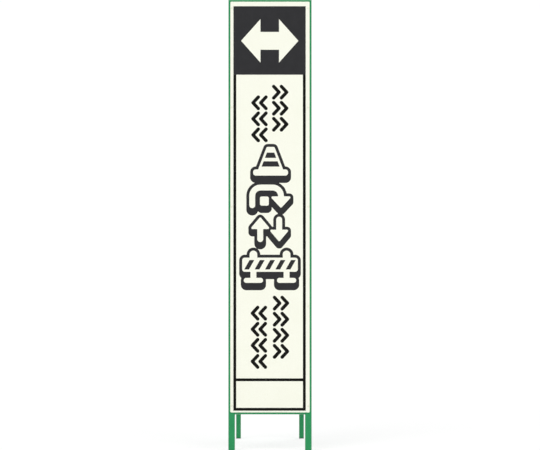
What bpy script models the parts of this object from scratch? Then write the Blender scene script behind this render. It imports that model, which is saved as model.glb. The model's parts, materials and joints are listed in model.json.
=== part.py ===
"""Slim standing road sign: a steel sign plate riveted to a square-tube frame, with a folding rear stand.

The front frame leans back on its two feet. The rear stand swings on two hinge bolts. A bent wire stay swings
from the uprights and rests on a rung of the stand. The stop bar welded under its end drops behind that rung,
so that the legs cannot slide apart.
Lengths are in metres. The origin is on the ground, in the middle of the footprint, and the sign faces -Y.
"""

import math

import bmesh
import bpy
from mathutils import Vector

# Sign plate and its reflective sheeting
SIGN_WIDTH = 0.275
SIGN_HEIGHT = 1.400
SIGN_CORNER = 0.003
PLATE_THICKNESS = 0.0005
SHEET_THICKNESS = 0.0004
SHEET_MARGIN = 0.0036  # painted edge of the plate that the sheeting leaves bare
SHEET_FOOT_MARGIN = 0.0024  # the same at the plate's foot
PLATE_ABOVE_GROUND = 0.1275  # measured along the uprights

# Front frame, square steel tube
UPRIGHT_SIDE = 0.022
UPRIGHT_WALL = 0.0012
FRAME_MARGIN = 0.003  # frame edge that shows beside and above the plate
RAIL_SIDE = 0.016
RAIL_WALL = 0.0012
UPPER_RAIL_DROP = 0.070  # below the hinge
MIDDLE_RAIL_CLEARANCE = 0.090  # above the end of the folded stay
TUBE_CORNER = 0.002
LEAN = math.radians(10.0)

# Rear stand
HINGE_HEIGHT = 1.200
LEG_SIDE = 0.016
LEG_WALL = 0.0012
LEG_SHORTFALL = 0.003  # how far the folded rear feet stay above the front feet
LEG_TOP_CLEARANCE = 0.002  # between the hinge bolt and the cap's plug above it
CROSSBAR_SIDE = 0.016
UPPER_CROSSBAR_DROP = 0.055  # below the hinge
LOWER_CROSSBAR_DROP = 0.120  # below the rung

# Hinge
BOLT_DIAMETER = 0.006
BOLT_HEAD_ACROSS = 0.010
BOLT_HEAD_HEIGHT = 0.004
BOLT_END_BEYOND_NUT = 0.0017
NUT_HEIGHT = 0.006
NUT_COLLAR_HEIGHT = 0.0016
WASHER_DIAMETER = 0.0125
WASHER_THICKNESS = 0.0012
EAR_THICKNESS = 0.0016
EAR_RIM = 0.0055  # steel left around the bolt hole
EAR_LENGTH = 0.038  # of the edge welded to the upright
SPACER_DIAMETER = 0.014
SPACER_THICKNESS = 0.0010
HEAD_CLEARANCE = 0.0007  # from the bolt's washer to the back of the upright

# Wire stay with its stop bar, and the rung that it rests on
STAY_WIRE = 0.006
STAY_PIVOT_HEIGHT = 0.300
STAY_LEG_CLEARANCE = 0.008  # from each arm to the rear leg beside it
STAY_BEND = 0.009
STOP_BAR_HEIGHT = 0.028
STOP_BAR_THICKNESS = 0.003
STOP_BAR_CORNER = 0.008
STAY_END_IN_UPRIGHT = 0.008
RUNG_DIAMETER = 0.009
SEAT_CLEARANCE = 0.0004

# Blind rivets
RIVETS_PER_SIDE = 5
RIVET_SHANK = 0.0032
RIVET_HEAD = 0.0065
RIVET_HEAD_HEIGHT = 0.0012
RIVET_BULGE = 0.0046
RIVET_TAIL = 0.0040
RIVET_INSET = 0.025  # from the ends of the plate

# Plastic end caps
CAP_FLANGE = 0.0020
CAP_PLUG_LENGTH = 0.011
CAP_WALL = 0.0016
CAP_FIN_HEIGHT = 0.0010
CAP_FIN_DEPTH = 0.0009
CAP_FINS = 3

GAP = 0.0003  # kept between pieces that touch, are welded or are glued
HOLE_CLEARANCE = 0.0003  # around a shank in its hole
CUT_OVERRUN = 0.002  # how far a cutter reaches past the wall that it opens
SIDES = {"left": -1, "right": 1}
CORNER_STEPS = 3
ROUND_STEPS = 16

# Places in the front frame: x across, v back from the frame's front face, u up along the uprights
FRAME_WIDTH = SIGN_WIDTH + 2 * FRAME_MARGIN
FRAME_LENGTH = PLATE_ABOVE_GROUND + SIGN_HEIGHT + FRAME_MARGIN
UPRIGHT_X = (FRAME_WIDTH - UPRIGHT_SIDE) / 2
INNER_X = FRAME_WIDTH / 2 - UPRIGHT_SIDE
PLATE_BACK_V = -GAP
PLATE_FRONT_V = PLATE_BACK_V - PLATE_THICKNESS
SHEET_BACK_V = PLATE_FRONT_V - GAP
SHEET_FRONT_V = SHEET_BACK_V - SHEET_THICKNESS
BOTTOM_RAIL_HEIGHT = PLATE_ABOVE_GROUND - FRAME_MARGIN + RAIL_SIDE / 2
STAY_PIVOT_V = UPRIGHT_SIDE / 2

# The hinge stack, from the upright inwards
EAR_X = INNER_X - GAP - EAR_THICKNESS / 2
SPACER_X = EAR_X - (EAR_THICKNESS + SPACER_THICKNESS) / 2 - GAP
LEG_X = SPACER_X - (SPACER_THICKNESS + LEG_SIDE) / 2 - GAP
LEG_INNER_X = LEG_X - LEG_SIDE / 2
NUT_WASHER_X = LEG_INNER_X - GAP - WASHER_THICKNESS / 2
NUT_X = NUT_WASHER_X - WASHER_THICKNESS / 2 - GAP - NUT_HEIGHT
HEAD_WASHER_X = EAR_X + (EAR_THICKNESS + WASHER_THICKNESS) / 2 + GAP
HEAD_X = HEAD_WASHER_X + WASHER_THICKNESS / 2 + GAP
HEAD_RADIUS = max(WASHER_DIAMETER / 2, BOLT_HEAD_ACROSS / math.sqrt(3))
LEG_ABOVE_HINGE = BOLT_DIAMETER / 2 + LEG_TOP_CLEARANCE + CAP_PLUG_LENGTH
STAY_ARM_X = LEG_INNER_X - STAY_LEG_CLEARANCE - STAY_WIRE / 2
HINGE_V = max(UPRIGHT_SIDE + HEAD_CLEARANCE + HEAD_RADIUS, RAIL_SIDE + LEG_SIDE / 2 + HEAD_CLEARANCE)


def frame_to_world(u, v):
    """Returns (y, z) of a point of the leaning front frame, before the footprint is centred."""
    return (
        u * math.sin(LEAN) + v * math.cos(LEAN),
        u * math.cos(LEAN) - v * math.sin(LEAN),
    )


# The stand opened out: both frames stand on the ground and the stay lies level on its rung
HINGE_Y, HINGE_Z = frame_to_world(HINGE_HEIGHT, HINGE_V)
LEG_LENGTH = HINGE_HEIGHT - LEG_SHORTFALL
SPREAD = math.acos(HINGE_Z / LEG_LENGTH)
DEPTH = HINGE_Y + HINGE_Z * math.tan(SPREAD) + LEG_SIDE / 2 / math.cos(SPREAD)
FOOTPRINT_Y = -DEPTH / 2
STAY_Y, STAY_Z = frame_to_world(STAY_PIVOT_HEIGHT, STAY_PIVOT_V)
RUNG_BELOW_STAY = (RUNG_DIAMETER + STAY_WIRE) / 2 + SEAT_CLEARANCE
RUNG_BEFORE_BAR = (RUNG_DIAMETER + STOP_BAR_THICKNESS) / 2 + SEAT_CLEARANCE
RUNG_DROP = (HINGE_Z - STAY_Z + RUNG_BELOW_STAY) / math.cos(SPREAD)
STAY_REACH = HINGE_Y + RUNG_DROP * math.sin(SPREAD) - STAY_Y + RUNG_BEFORE_BAR
FOLDED_STAY_TOP = STAY_PIVOT_HEIGHT + STAY_REACH + STAY_WIRE / 2

GREEN = ("green_enamel", (0.031, 0.301, 0.112), 0.35, 0.0)
CREAM = ("cream_sheeting", (0.955, 0.960, 0.840), 0.40, 0.0)
ZINC = ("zinc_plate", (0.560, 0.570, 0.580), 0.35, 1.0)
BLACK = ("black_polyethylene", (0.020, 0.022, 0.021), 0.55, 0.0)
NYLON = ("white_nylon", (0.750, 0.740, 0.700), 0.50, 0.0)


def collection(name):
    """Makes a collection in the scene."""
    made = bpy.data.collections.new(name)
    bpy.context.scene.collection.children.link(made)
    return made


def clear_scene():
    for obj in list(bpy.data.objects):
        bpy.data.objects.remove(obj)


def material(finish):
    """Returns the Principled material for a finish, made the first time it is asked for."""
    name, colour, roughness, metallic = finish
    made = bpy.data.materials.get(name)
    if made is None:
        made = bpy.data.materials.new(name)
        made.use_nodes = True
        shader = made.node_tree.nodes["Principled BSDF"]
        shader.inputs["Base Color"].default_value = (*colour, 1.0)
        shader.inputs["Roughness"].default_value = roughness
        shader.inputs["Metallic"].default_value = metallic
    return made


def pivot(name, location, tilt):
    """Makes an empty that carries a body, turned by tilt about X."""
    empty = bpy.data.objects.new(name, None)
    empty.location = location
    empty.rotation_euler = (tilt, 0.0, 0.0)
    bpy.data.collections["standing_road_sign"].objects.link(empty)
    return empty


def finish_mesh(obj):
    """Welds an object's mesh and shades its round faces smooth."""
    mesh = obj.data
    shape = bmesh.new()
    shape.from_mesh(mesh)
    bmesh.ops.remove_doubles(shape, verts=shape.verts, dist=1e-6)
    bmesh.ops.recalc_face_normals(shape, faces=shape.faces)
    shape.to_mesh(mesh)
    shape.free()
    mesh.shade_smooth()
    mesh.set_sharp_from_angle(angle=math.radians(30))
    return obj


def part(obj, finish, parent, location=(0, 0, 0), rotation=(0, 0, 0)):
    """Gives a modelled object its material, its carrier and its place."""
    obj.data.materials.clear()
    obj.data.materials.append(material(finish))
    obj.parent = parent
    obj.location = location
    obj.rotation_euler = rotation
    return obj


def arc(centre, radius, start, end, steps):
    """Points along a circular arc in a plane, both ends included."""
    return [
        (
            centre[0] + radius * math.cos(start + (end - start) * i / steps),
            centre[1] + radius * math.sin(start + (end - start) * i / steps),
        )
        for i in range(steps + 1)
    ]


def rounded_rectangle(width, height, radius, steps=CORNER_STEPS):
    """Outline of a rectangle about the origin with round corners, anticlockwise."""
    points = []
    for quarter, (sx, sy) in enumerate([(1, 1), (-1, 1), (-1, -1), (1, -1)]):
        centre = (sx * (width / 2 - radius), sy * (height / 2 - radius))
        start = quarter * math.pi / 2
        points += arc(centre, radius, start, start + math.pi / 2, steps)
    return points


def circle(centre, radius, steps=ROUND_STEPS):
    """Outline of a circle, a little outside its radius so that its flats touch the true size."""
    outer = radius / math.cos(math.pi / steps)
    return arc(centre, outer, 0.0, 2 * math.pi * (steps - 1) / steps, steps - 1)


def extruded(name, outlines, low, high, group="standing_road_sign"):
    """Makes a mesh from a flat outline and its holes, from low to high along its own Z."""
    curve = bpy.data.curves.new(name + "_outline", "CURVE")
    curve.dimensions = "2D"
    curve.fill_mode = "BOTH"
    curve.extrude = (high - low) / 2
    for outline in outlines:
        spline = curve.splines.new("POLY")
        spline.points.add(len(outline) - 1)
        for point, (x, y) in zip(spline.points, outline):
            point.co = (x, y, 0.0, 1.0)
        spline.use_cyclic_u = True
    outline_object = bpy.data.objects.new(name + "_outline", curve)
    bpy.context.scene.collection.objects.link(outline_object)
    graph = bpy.context.evaluated_depsgraph_get()
    mesh = bpy.data.meshes.new_from_object(outline_object.evaluated_get(graph))
    bpy.data.objects.remove(outline_object)
    mesh.name = name
    for vertex in mesh.vertices:
        vertex.co.z += (low + high) / 2
    obj = bpy.data.objects.new(name, mesh)
    bpy.data.collections[group].objects.link(obj)
    return finish_mesh(obj)


def slant_ends(obj, low_slope=(0.0, 0.0), high_slope=(0.0, 0.0)):
    """Cuts a prism's two ends to a plane by moving their points along its Z, slope metres a metre."""
    middle = sum(vertex.co.z for vertex in obj.data.vertices) / len(obj.data.vertices)
    for vertex in obj.data.vertices:
        slope = high_slope if vertex.co.z > middle else low_slope
        vertex.co.z += slope[0] * vertex.co.x + slope[1] * vertex.co.y
    return finish_mesh(obj)


def square_tube(name, side, wall, low, high):
    """Makes a hollow square tube with round edges, about its own Z."""
    inside = side - 2 * wall
    outlines = [
        rounded_rectangle(side, side, TUBE_CORNER),
        rounded_rectangle(inside, inside, max(TUBE_CORNER - wall, TUBE_CORNER / 4)),
    ]
    return extruded(name, outlines, low, high)


def turned(name, profile, group="standing_road_sign", steps=ROUND_STEPS):
    """Makes a turned shape about its own Z from (radius, height) points, top to bottom."""
    mesh = bpy.data.meshes.new(name)
    mesh.from_pydata(
        [(radius, 0.0, height) for radius, height in profile],
        [(i, i + 1) for i in range(len(profile) - 1)],
        [],
    )
    obj = bpy.data.objects.new(name, mesh)
    bpy.data.collections[group].objects.link(obj)
    screw = obj.modifiers.new("turn", "SCREW")
    screw.steps = screw.render_steps = steps
    screw.use_merge_vertices = True
    screw.merge_threshold = 1e-5
    screw.use_smooth_shade = False
    return obj


def helper(obj):
    """Marks a cutter or a piece to be joined on, which is not itself a part."""
    obj.hide_render = True
    obj.display_type = "WIRE"
    return obj


def boolean(target, other, operation):
    """Adds a Boolean modifier between a part and a helper."""
    step = target.modifiers.new(other.name, "BOOLEAN")
    step.operation = operation
    step.object = helper(other)
    return target


def drill(target, name, outlines, depth, parent, location, rotation):
    """Cuts outlines through a part, from the first depth to the second along the cutter's own Z."""
    cutter = extruded(name, outlines, *depth, "cutters")
    cutter.parent = parent
    cutter.location = location
    cutter.rotation_euler = rotation
    return boolean(target, cutter, "DIFFERENCE")


def wire(name, path, diameter):
    """Makes a round wire along a path of points."""
    curve = bpy.data.curves.new(name, "CURVE")
    curve.dimensions = "3D"
    curve.bevel_depth = diameter / 2
    curve.bevel_resolution = 2
    curve.use_fill_caps = True
    spline = curve.splines.new("POLY")
    spline.points.add(len(path) - 1)
    for point, place in zip(spline.points, path):
        point.co = (*place, 1.0)
    obj = bpy.data.objects.new(name, curve)
    bpy.data.collections["standing_road_sign"].objects.link(obj)
    return obj


def bent_path(corners, radii, steps=6):
    """Runs a path through its corners, each bent to its radius. The two ends have no radius."""
    corners = [Vector(corner) for corner in corners]
    path = [corners[0]]
    for before, corner, after, radius in zip(corners, corners[1:], corners[2:], radii):
        back = (before - corner).normalized()
        ahead = (after - corner).normalized()
        half = back.angle(ahead) / 2
        centre = corner + (back + ahead).normalized() * radius / math.sin(half)
        start = corner + back * radius / math.tan(half) - centre
        end = corner + ahead * radius / math.tan(half) - centre
        sweep = math.pi - 2 * half
        for i in range(steps + 1):
            share = sweep * i / steps
            turn = (start * math.sin(sweep - share) + end * math.sin(share)) / math.sin(sweep)
            path.append(centre + turn)
    return path + [corners[-1]]


def rivet_heights():
    """Heights of the rivets along the uprights, evenly spaced on the plate."""
    span = SIGN_HEIGHT - 2 * RIVET_INSET
    first = PLATE_ABOVE_GROUND + RIVET_INSET
    return [first + span * i / (RIVETS_PER_SIDE - 1) for i in range(RIVETS_PER_SIDE)]


ACROSS = (0.0, math.pi / 2, 0.0)  # turns a shape's own Z to +X
FORWARD = (math.pi / 2, 0.0, 0.0)  # turns a shape's own Z to the front, -V


def uprights(frame):
    """The two long tubes: cut flat on the ground, mitred at the top, drilled for rivets and the stay."""
    for side, sign in SIDES.items():
        tube = square_tube(
            f"upright_{side}",
            UPRIGHT_SIDE,
            UPRIGHT_WALL,
            (CAP_FLANGE + GAP) / math.cos(LEAN) + UPRIGHT_SIDE / 2 * math.tan(LEAN),
            FRAME_LENGTH - UPRIGHT_SIDE / 2,
        )
        slant_ends(tube, (0.0, math.tan(LEAN)), (float(sign), 0.0))
        part(tube, GREEN, frame, (sign * UPRIGHT_X, UPRIGHT_SIDE / 2, 0.0))
        wall = (-UPRIGHT_WALL - CUT_OVERRUN, CUT_OVERRUN)
        drill(
            tube,
            f"rivet_holes_{side}",
            [circle((0.0, height), RIVET_SHANK / 2 + HOLE_CLEARANCE) for height in rivet_heights()],
            wall,
            frame,
            (sign * UPRIGHT_X, 0.0, 0.0),
            FORWARD,
        )
        drill(
            tube,
            f"stay_hole_{side}",
            [circle((0.0, 0.0), STAY_WIRE / 2 + HOLE_CLEARANCE)],
            wall,
            frame,
            (sign * INNER_X, STAY_PIVOT_V, STAY_PIVOT_HEIGHT),
            (0.0, -sign * math.pi / 2, 0.0),
        )


def rails(frame):
    """The mitred top rail and the three rails that lie flush behind the plate."""
    half = FRAME_WIDTH / 2 - UPRIGHT_SIDE / 2 - GAP * math.sqrt(2)
    top = square_tube("top_rail", UPRIGHT_SIDE, UPRIGHT_WALL, -half, half)
    slant_ends(top, (1.0, 0.0), (-1.0, 0.0))
    part(top, GREEN, frame, (0.0, UPRIGHT_SIDE / 2, FRAME_LENGTH - UPRIGHT_SIDE / 2), ACROSS)
    for name, height in {
        "upper_rail": HINGE_HEIGHT - UPPER_RAIL_DROP,
        "middle_rail": FOLDED_STAY_TOP + MIDDLE_RAIL_CLEARANCE + RAIL_SIDE / 2,
        "bottom_rail": BOTTOM_RAIL_HEIGHT,
    }.items():
        rail = square_tube(name, RAIL_SIDE, RAIL_WALL, GAP - INNER_X, INNER_X - GAP)
        part(rail, GREEN, frame, (0.0, RAIL_SIDE / 2, height), ACROSS)


def sign_face(frame):
    """The steel plate and the reflective sheeting stuck on its front, both pierced for the rivets."""
    for name, finish, back, thickness, margin, foot_margin in (
        ("sign_plate", GREEN, PLATE_BACK_V, PLATE_THICKNESS, 0.0, 0.0),
        ("reflective_sheet", CREAM, SHEET_BACK_V, SHEET_THICKNESS, SHEET_MARGIN, SHEET_FOOT_MARGIN),
    ):
        length = SIGN_HEIGHT - margin - foot_margin
        centre = PLATE_ABOVE_GROUND + foot_margin + length / 2
        outlines = [rounded_rectangle(SIGN_WIDTH - 2 * margin, length, SIGN_CORNER)]
        for sign in SIDES.values():
            for height in rivet_heights():
                hole = (sign * UPRIGHT_X, height - centre)
                outlines.append(circle(hole, RIVET_SHANK / 2 + HOLE_CLEARANCE))
        sheet = extruded(name, outlines, 0.0, thickness)
        part(sheet, finish, frame, (0.0, back, centre), FORWARD)


def rivets(frame):
    """Blind rivets: a domed head on the sheeting, and a bulb set inside the upright's front wall."""
    under_head = -SHEET_FRONT_V + GAP
    bulb_top = -UPRIGHT_WALL - GAP
    dome = arc((0.0, under_head), 1.0, math.pi / 2, 0.0, 4)
    head = [(RIVET_HEAD / 2 * x, under_head + RIVET_HEAD_HEIGHT * (z - under_head)) for x, z in dome]
    profile = [(abs(x), z) for x, z in head] + [
        (RIVET_SHANK / 2, under_head),
        (RIVET_SHANK / 2, bulb_top),
        (RIVET_BULGE / 2, bulb_top - RIVET_TAIL / 4),
        (RIVET_BULGE / 2, bulb_top - RIVET_TAIL / 2),
        (RIVET_SHANK / 2, bulb_top - RIVET_TAIL),
        (0.0, bulb_top - RIVET_TAIL),
    ]
    for side, sign in SIDES.items():
        for i, height in enumerate(rivet_heights(), 1):
            rivet = turned(f"rivet_{side}_{i}", profile)
            part(rivet, CREAM, frame, (sign * UPRIGHT_X, 0.0, height), FORWARD)


def ear_outline():
    """Hinge ear seen from the side, as (v, u): welded to the upright, and round about the bolt."""
    rim = BOLT_DIAMETER / 2 + HOLE_CLEARANCE + EAR_RIM
    front, back = TUBE_CORNER, UPRIGHT_SIDE - TUBE_CORNER
    return [
        (front, -EAR_LENGTH / 2),
        (back, -EAR_LENGTH / 2),
        *arc((HINGE_V, 0.0), rim, -math.pi / 3, math.pi / 3, 8),
        (back, EAR_LENGTH / 2),
        (front, EAR_LENGTH / 2),
    ]


def hex_prism(name, across, low, high, group):
    """Makes a hexagonal prism that measures across over its flats."""
    return extruded(name, [circle((0, 0), across / 2, 6)], low, high, group)


def chamfered_hex(name, across, low, high):
    """Makes a bolt head or nut: a hexagon with its corners turned off on the outer side."""
    corner = across / math.sqrt(3)
    height = high - low
    obj = hex_prism(name, across, low, high, "standing_road_sign")
    dome = turned(
        name + "_chamfer",
        [
            (0.0, high + height),
            (across / 2 - height, high + height / 2),
            (corner + height, high - height),
            (corner + height, low - height),
            (0.0, low - height),
        ],
        "cutters",
        24,
    )
    dome.parent = obj
    return boolean(obj, dome, "INTERSECT")


def hinge_hardware(frame):
    """The welded ears with their bolts, washers, spacers and lock nuts, the bolt heads on the outside."""
    for side, sign in SIDES.items():
        outward = (0.0, sign * math.pi / 2, 0.0)
        hole = circle((HINGE_V, 0.0), BOLT_DIAMETER / 2 + HOLE_CLEARANCE)
        ear = extruded(f"hinge_ear_{side}", [ear_outline(), hole], -EAR_THICKNESS / 2, EAR_THICKNESS / 2)
        flat_to_side = (math.pi / 2, 0.0, math.pi / 2)
        part(ear, GREEN, frame, (sign * EAR_X, 0.0, HINGE_HEIGHT), flat_to_side)

        bolt = chamfered_hex(f"hinge_bolt_{side}", BOLT_HEAD_ACROSS, HEAD_X, HEAD_X + BOLT_HEAD_HEIGHT)
        part(bolt, ZINC, frame, (0.0, HINGE_V, HINGE_HEIGHT), outward)
        radius = BOLT_DIAMETER / 2
        tip = NUT_X - BOLT_END_BEYOND_NUT
        shank = turned(
            f"bolt_shank_{side}",
            [
                (0.0, HEAD_X + BOLT_HEAD_HEIGHT / 2),
                (radius, HEAD_X + BOLT_HEAD_HEIGHT / 2),
                (radius, tip + radius / 4),
                (radius * 3 / 4, tip),
                (0.0, tip),
            ],
            "cutters",
        )
        shank.parent = bolt
        boolean(bolt, shank, "UNION")

        for name, middle, diameter, thickness, finish in (
            ("bolt_washer", HEAD_WASHER_X, WASHER_DIAMETER, WASHER_THICKNESS, ZINC),
            ("hinge_spacer", SPACER_X, SPACER_DIAMETER, SPACER_THICKNESS, NYLON),
            ("nut_washer", NUT_WASHER_X, WASHER_DIAMETER, WASHER_THICKNESS, ZINC),
        ):
            rings = [circle((0, 0), diameter / 2), circle((0, 0), radius + HOLE_CLEARANCE)]
            ring = extruded(f"{name}_{side}", rings, middle - thickness / 2, middle + thickness / 2)
            part(ring, finish, frame, (0.0, HINGE_V, HINGE_HEIGHT), outward)

        lock_nut(frame, side, outward)


def lock_nut(frame, side, outward):
    """A nut with a round collar on its inner end, where the nylon ring sits."""
    seat = NUT_X + NUT_HEIGHT
    waist = NUT_X + NUT_COLLAR_HEIGHT
    nut = hex_prism(f"lock_nut_{side}", BOLT_HEAD_ACROSS, waist, seat, "standing_road_sign")
    part(nut, ZINC, frame, (0.0, HINGE_V, HINGE_HEIGHT), outward)
    collar_radius = BOLT_HEAD_ACROSS / 2 * 0.94
    collar = turned(
        f"nut_collar_{side}",
        [
            (0.0, waist + NUT_COLLAR_HEIGHT / 2),
            (collar_radius, waist + NUT_COLLAR_HEIGHT / 2),
            (collar_radius, NUT_X + NUT_COLLAR_HEIGHT / 3),
            (collar_radius * 0.86, NUT_X),
            (0.0, NUT_X),
        ],
        "cutters",
    )
    collar.parent = nut
    boolean(nut, collar, "UNION")
    drill(
        nut,
        f"nut_bore_{side}",
        [circle((0.0, 0.0), BOLT_DIAMETER / 2 + HOLE_CLEARANCE)],
        (NUT_X - CUT_OVERRUN, seat + CUT_OVERRUN),
        nut,
        (0.0, 0.0, 0.0),
        (0.0, 0.0, 0.0),
    )


def end_cap(name, tube_side, tube_wall, lean=0.0):
    """A push-in cap, flange down: its sole is the plane Z = 0 after it leans, and its plug is finned."""
    slope = math.tan(lean)
    lift = tube_side / 2 * slope
    thick = CAP_FLANGE / math.cos(lean)
    bore = tube_side - 2 * tube_wall
    plug_side = bore - 2 * (CAP_FIN_DEPTH + HOLE_CLEARANCE)
    corner = TUBE_CORNER / 2

    cap = extruded(name, [rounded_rectangle(tube_side, tube_side, TUBE_CORNER)], lift, lift + thick)
    slant_ends(cap, (0.0, slope), (0.0, slope))
    plug_outline = rounded_rectangle(plug_side, plug_side, corner)
    hollow = rounded_rectangle(plug_side - 2 * CAP_WALL, plug_side - 2 * CAP_WALL, corner / 2)
    top = 2 * lift + thick + CAP_PLUG_LENGTH
    plug = extruded(name + "_plug", [plug_outline, hollow], lift + thick / 2, top, "cutters")
    slant_ends(plug, (0.0, slope))
    pieces = [plug]
    fin_side = bore - 2 * HOLE_CLEARANCE
    for i in range(CAP_FINS):
        centre = top - CAP_PLUG_LENGTH * (i + 0.5) / (CAP_FINS + 1)
        rings = [
            rounded_rectangle(fin_side, fin_side, corner),
            rounded_rectangle(plug_side - CAP_WALL, plug_side - CAP_WALL, corner / 2),
        ]
        half = CAP_FIN_HEIGHT / 2
        pieces.append(extruded(f"{name}_fin_{i + 1}", rings, centre - half, centre + half, "cutters"))
    for piece in pieces:
        piece.parent = cap
        boolean(cap, piece, "UNION")
    return cap


def front_feet(frame):
    """Caps in the lower ends of the uprights, with their soles flat on the ground."""
    for side, sign in SIDES.items():
        cap = end_cap(f"front_foot_cap_{side}", UPRIGHT_SIDE, UPRIGHT_WALL, LEAN)
        part(cap, BLACK, frame, (sign * UPRIGHT_X, UPRIGHT_SIDE / 2, 0.0))


def rear_legs(stand):
    """The two legs, cut flat on the ground and drilled for the hinge bolts, with a cap in each end."""
    ground = -LEG_LENGTH
    for side, sign in SIDES.items():
        name = f"rear_leg_{side}"
        cut = (CAP_FLANGE + GAP) / math.cos(SPREAD)
        leg = square_tube(name, LEG_SIDE, LEG_WALL, ground + cut, LEG_ABOVE_HINGE)
        slant_ends(leg, (0.0, -math.tan(SPREAD)))
        part(leg, GREEN, stand, (sign * LEG_X, 0.0, 0.0))
        drill(
            leg,
            f"hinge_hole_{side}",
            [circle((0.0, 0.0), BOLT_DIAMETER / 2 + HOLE_CLEARANCE)],
            (-LEG_SIDE / 2 - CUT_OVERRUN, LEG_SIDE / 2 + CUT_OVERRUN),
            stand,
            (sign * LEG_X, 0.0, 0.0),
            ACROSS,
        )
        # The foot leans the other way from the front feet, so the cap is turned about its own axis.
        foot = end_cap(f"rear_foot_cap_{side}", LEG_SIDE, LEG_WALL, SPREAD)
        lift = LEG_SIDE / 2 * math.tan(SPREAD)
        part(foot, BLACK, stand, (sign * LEG_X, 0.0, ground - lift), (0.0, 0.0, math.pi))
        top = end_cap(f"rear_top_cap_{side}", LEG_SIDE, LEG_WALL)
        top_z = LEG_ABOVE_HINGE + CAP_FLANGE + GAP
        part(top, BLACK, stand, (sign * LEG_X, 0.0, top_z), (math.pi, 0.0, 0.0))


def cross_members(stand):
    """Two square crossbars and the round rung between the rear legs."""
    reach = LEG_INNER_X - GAP
    for name, height in {
        "rear_upper_crossbar": -UPPER_CROSSBAR_DROP,
        "rear_lower_crossbar": -RUNG_DROP - LOWER_CROSSBAR_DROP,
    }.items():
        bar = square_tube(name, CROSSBAR_SIDE, LEG_WALL, -reach, reach)
        part(bar, GREEN, stand, (0.0, 0.0, height), ACROSS)
    rung = turned(
        "stay_rung",
        [(0.0, reach), (RUNG_DIAMETER / 2, reach), (RUNG_DIAMETER / 2, -reach), (0.0, -reach)],
    )
    part(rung, GREEN, stand, (0.0, 0.0, -RUNG_DROP), ACROSS)


def wire_stay(carrier):
    """The stay: a wire whose ends spring into the uprights, and a flat bar that hangs from its far side."""
    half = [
        (INNER_X + UPRIGHT_WALL + STAY_END_IN_UPRIGHT, 0.0, 0.0),
        (STAY_ARM_X, 0.0, 0.0),
        (STAY_ARM_X, STAY_REACH, 0.0),
    ]
    other_half = [(-x, y, z) for x, y, z in reversed(half)]
    bail = wire("stay_bail", bent_path(half + other_half, [STAY_BEND] * 4), STAY_WIRE)
    part(bail, ZINC, carrier)

    length = 2 * (STAY_ARM_X - STAY_BEND)
    outline = rounded_rectangle(length, STOP_BAR_HEIGHT, STOP_BAR_CORNER, ROUND_STEPS // 2)
    bar = extruded("stay_stop_bar", [outline], -STOP_BAR_THICKNESS / 2, STOP_BAR_THICKNESS / 2)
    drop = STAY_WIRE / 2 + GAP + STOP_BAR_HEIGHT / 2
    part(bar, ZINC, carrier, (0.0, STAY_REACH, -drop), FORWARD)


def main():
    clear_scene()
    collection("standing_road_sign")
    collection("cutters")

    frame = pivot("front_frame_pivot", (0.0, FOOTPRINT_Y, 0.0), -LEAN)
    uprights(frame)
    rails(frame)
    sign_face(frame)
    rivets(frame)
    hinge_hardware(frame)
    front_feet(frame)

    stand = pivot("rear_stand_pivot", (0.0, FOOTPRINT_Y + HINGE_Y, HINGE_Z), SPREAD)
    rear_legs(stand)
    cross_members(stand)

    stay = pivot("stay_pivot", (0.0, FOOTPRINT_Y + STAY_Y, STAY_Z), 0.0)
    wire_stay(stay)


if __name__ == "__main__":
    main()
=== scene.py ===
"""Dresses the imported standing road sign: enamelled tube frame, printed reflective face, zinc-plated stay.

Lengths are in metres. A place on the front frame or the rear stand is given in that frame's own directions:
x across, v back from the frame's pivot line, and u up along its tubes. Prints are laid out in millimetres.
"""

import json
import logging
import math
from collections.abc import Callable, Iterable, Sequence
from dataclasses import dataclass, field
from enum import Enum
from functools import partial

import bmesh
import bpy
import numpy as np
from mathutils import Matrix, Vector

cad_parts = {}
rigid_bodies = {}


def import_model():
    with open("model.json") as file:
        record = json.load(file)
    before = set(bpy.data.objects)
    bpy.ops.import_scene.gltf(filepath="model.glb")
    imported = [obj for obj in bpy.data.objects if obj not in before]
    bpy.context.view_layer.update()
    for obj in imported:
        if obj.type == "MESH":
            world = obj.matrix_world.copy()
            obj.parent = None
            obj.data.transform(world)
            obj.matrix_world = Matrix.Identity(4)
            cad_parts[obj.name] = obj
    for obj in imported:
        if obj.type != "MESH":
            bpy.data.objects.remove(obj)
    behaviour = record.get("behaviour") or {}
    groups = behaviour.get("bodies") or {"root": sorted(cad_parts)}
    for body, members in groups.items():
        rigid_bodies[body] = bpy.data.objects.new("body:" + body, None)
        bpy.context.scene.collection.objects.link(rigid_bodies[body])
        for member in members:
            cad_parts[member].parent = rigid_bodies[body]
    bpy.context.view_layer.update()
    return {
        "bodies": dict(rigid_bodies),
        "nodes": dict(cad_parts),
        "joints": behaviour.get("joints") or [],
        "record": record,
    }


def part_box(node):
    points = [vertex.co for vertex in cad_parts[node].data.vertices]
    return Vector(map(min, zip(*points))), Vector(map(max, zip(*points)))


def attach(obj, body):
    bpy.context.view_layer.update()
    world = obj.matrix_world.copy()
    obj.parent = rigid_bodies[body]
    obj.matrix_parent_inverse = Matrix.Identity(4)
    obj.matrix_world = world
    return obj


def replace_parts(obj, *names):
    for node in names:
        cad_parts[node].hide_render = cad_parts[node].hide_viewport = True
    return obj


log = logging.getLogger("standing_road_sign")

Grid = np.ndarray
Node = bpy.types.Node
Piece = bpy.types.Object
Point = tuple[float, float]
Row = tuple[float | Grid, float | Grid]
Profile = Callable[[float, float], list[Row]]
Socket = bpy.types.NodeSocket
Tree = bpy.types.NodeTree

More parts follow.
